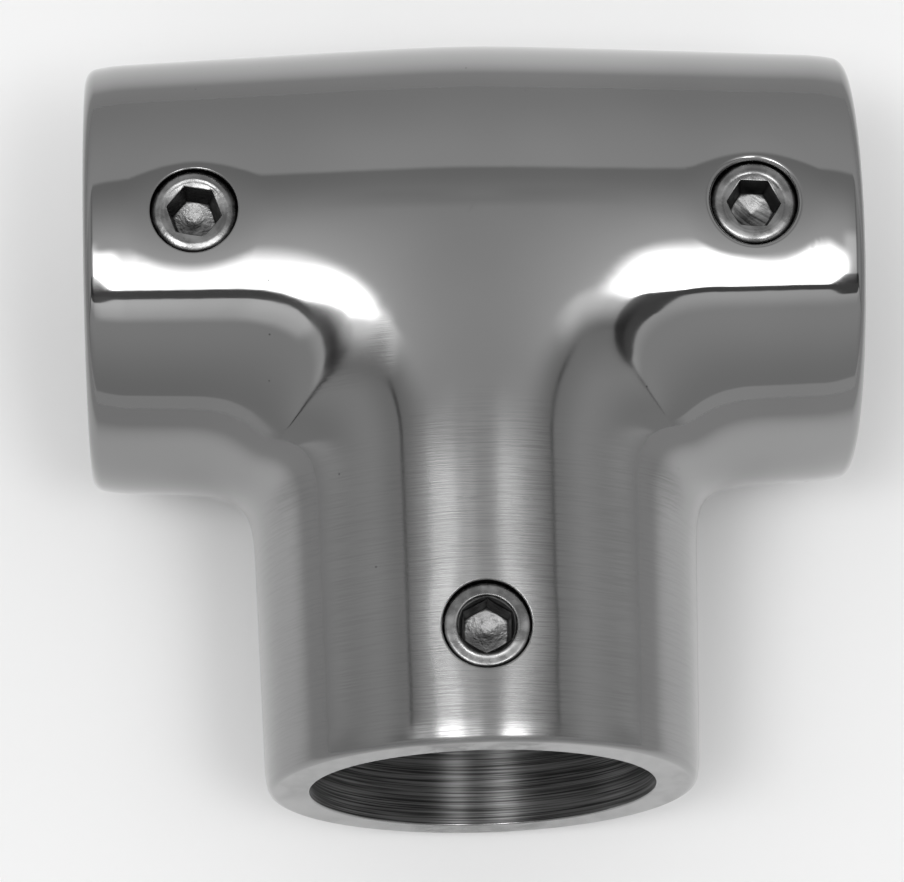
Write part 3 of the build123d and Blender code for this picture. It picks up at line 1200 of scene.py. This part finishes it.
cloth = masked(tree, upper, front, (along_card, -0.52, -0.51))
to_front = node(tree, "Math", (y, -1), operation="MULTIPLY")
to_front = node(tree, "Math", (to_front, 0), operation="MAXIMUM")
over_hem = node(tree, "Math", (to_front, -HEM_RISE, z), operation="MULTIPLY_ADD")
cloth = masked(tree, 0.52, cloth, (over_hem, 0.01, -0.01), (to_front, 0.3, 0.7))
black = node(tree, "Math", (cloth, CARD_LIGHT), operation="MULTIPLY")
on_card = ((foot_edge, -0.555, -0.535), (top_edge, -0.435, -0.455), (off_side, 9, 6))
cloth = masked(tree, black, cloth, *on_card)
print("studio, card:", len(tree.nodes), "nodes")

# %% [markdown]
# ### The lamps
#
# Two soft lamps behind the card give the bright bands along the run, and their spill on
# the cloth outside them fills the bands' ends. The left lamp is brighter at its outer
# end, and the right one's top falls away. Area lamps would do as well, but here their
# edges can lie exactly on the card's. Last, one level makes white card look white.

# %% The lamps, and the light of the whole studio
LAMP_LIGHT = 8.5
FALL_START, FALL = 13.0, 0.6  # degrees sideways where the right lamp's top falls away
ALL_LIGHT = 1.2
SPILL_HEIGHT = ((forward, -26, -17), (forward, 5, -3))

left_light = masked(tree, 1.25 * LAMP_LIGHT, 0.3125 * LAMP_LIGHT, (sideways, -8, -16))
left_lamp = masked(tree, left_light, 0, (sideways, -27.5, -22), (sideways, 0, -4))
right_lamp = masked(tree, 0.85 * LAMP_LIGHT, 0, (sideways, 6, 14), (sideways, 27, 20))
fall = node(tree, "Math", (sideways, FALL, -FALL_START * FALL), operation="MULTIPLY_ADD")
fall = node(tree, "Math", (fall, 0), operation="MAXIMUM")
lamp_height = node(tree, "Math", (forward, fall), operation="ADD")
both = node(tree, "Math", (left_lamp, right_lamp), operation="ADD")
light = masked(tree, both, 0, (top_edge, -0.45, -0.43), (lamp_height, 0, -14))

left_spill = masked(tree, 0.95, 0, (sideways, -44, -31), (sideways, -20, -24), *SPILL_HEIGHT)
right_spill = masked(tree, 0.5, 0, (sideways, 20, 24), (sideways, 38, 26), *SPILL_HEIGHT)
for more in (left_spill, right_spill, cloth):
    light = node(tree, "Math", (light, more), operation="ADD")
strength = node(tree, "Math", (light, ALL_LIGHT), operation="MULTIPLY")
background = node(tree, "Background", {"Color": (1, 1, 1, 1), "Strength": strength})
node(tree, "OutputWorld", {"Surface": background})
print("studio:", len(tree.nodes), "nodes")

# %% [markdown]
# ## The camera
#
# The fitting is seen from above, leaning a little towards the stem's mouth, so that one
# looks into the bore. A Track To constraint could aim the camera, but not roll it. A
# camera looks along its own -Z, so its axes are worked out from where it stands: back
# towards it, then right, then up, turned by the roll.

# %% Camera
CAMERA_DISTANCE = 389.82 * MM
CAMERA_LEAN = math.radians(16.35)  # towards the stem's mouth, from straight above
CAMERA_TURN = math.radians(-2.16)  # to the left
CAMERA_ROLL = math.radians(-1.64)
CAMERA_TARGET = Vector((-1.55, -13.27, 0.0)) * MM
CAMERA_LENS = 205.0


def camera_axes():
    """Right, up and back: back = (sin t cos l, -sin l, cos t cos l), the others square to it."""
    level = math.cos(CAMERA_LEAN)
    across, along = math.sin(CAMERA_TURN) * level, math.cos(CAMERA_TURN) * level
    back = Vector((across, -math.sin(CAMERA_LEAN), along))
    right = Vector((0, 1, 0)).cross(back).normalized()
    up = back.cross(right)
    cos, sin = math.cos(CAMERA_ROLL), math.sin(CAMERA_ROLL)
    return right * cos + up * sin, up * cos - right * sin, back


camera_data = bpy.data.cameras.new("camera")
camera_data.lens = CAMERA_LENS
camera_data.sensor_width = 36.0
camera_data.clip_start = 0.01
camera = linked_piece("camera", camera_data)
axes = camera_axes()
turn = Matrix(axes).transposed().to_4x4()
camera.matrix_world = Matrix.Translation(CAMERA_TARGET + axes[2] * CAMERA_DISTANCE) @ turn
bpy.context.scene.camera = camera
bpy.context.scene.view_settings.view_transform = "Standard"
print("camera at, mm:", [round(x / MM, 1) for x in camera.matrix_world.translation])
